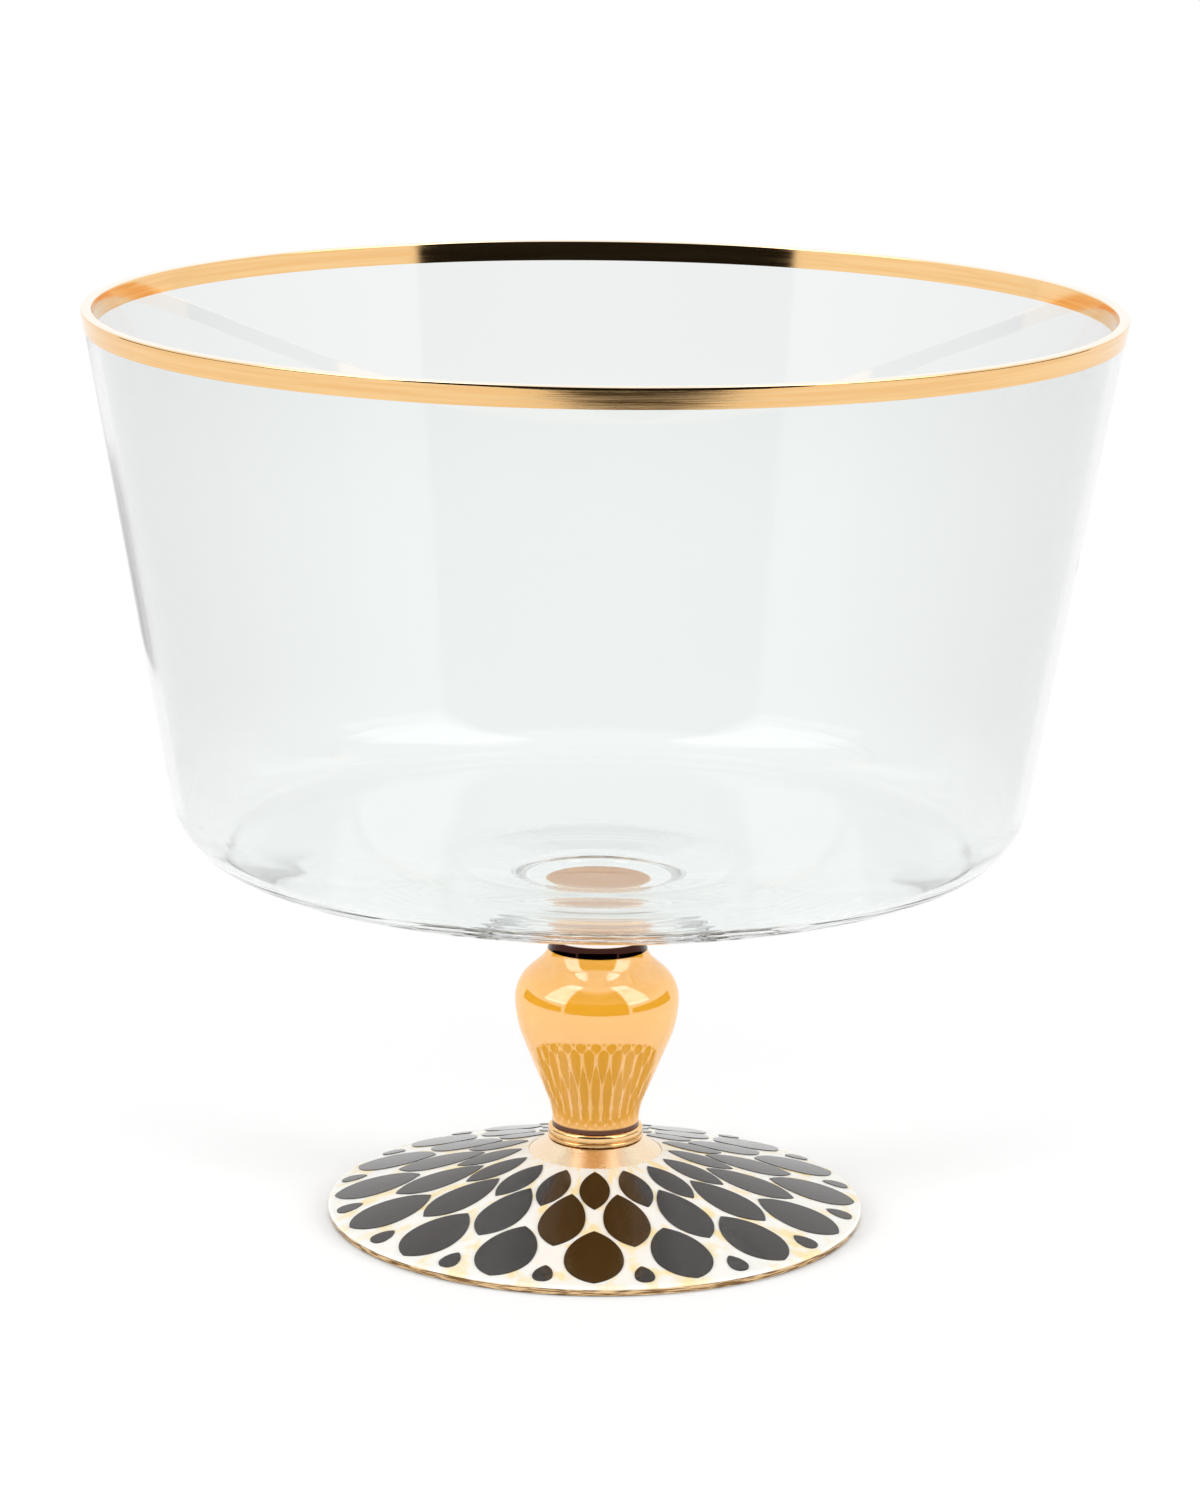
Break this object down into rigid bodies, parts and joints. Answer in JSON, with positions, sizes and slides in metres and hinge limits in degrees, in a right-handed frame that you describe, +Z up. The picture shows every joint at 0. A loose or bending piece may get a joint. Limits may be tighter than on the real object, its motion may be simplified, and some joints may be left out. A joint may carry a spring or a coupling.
{
  "type": "footed trifle bowl",
  "caption": "Deep clear glass bowl with a gilded rim, on an amber glass baluster stem and a low conical foot enamelled with black leaves on ivory.",
  "frame": {"origin": "middle of the flat ring that the foot rests on", "axes": "+Z up along the bowl's axis; +X and +Y are alike, with a leaf of the inner row on +X"},
  "size_m": [0.2538, 0.2538, 0.23],
  "materials": {
    "clear_glass": "clear blown glass, fire-polished, with a faint cool grey cast",
    "amber_glass": "amber lustre glass, glossy and mirror-like, peach where it reflects light",
    "gold_lustre": "fired gold lustre, polished",
    "ivory_enamel": "brushed ivory enamel with pale yellow washes, glossy",
    "black_enamel": "raised warm black enamel, glossy",
    "clear_adhesive": "clear cured adhesive"
  },
  "bodies": {
    "root": {"bowl": "clear_glass", "foot": "clear_glass", "stem": "amber_glass", "rim_lustre": "gold_lustre", "neck_lustre": "gold_lustre", "base_bead": "gold_lustre", "collar_lustre": "gold_lustre", "foot_edge_lustre": "gold_lustre", "enamel_ground": "ivory_enamel", "leaves_inner": "black_enamel", "leaves_middle": "black_enamel", "leaves_outer": "black_enamel", "edge_drops": "black_enamel", "bowl_bond": "clear_adhesive", "foot_bond": "clear_adhesive"}
  },
  "joints": []
}
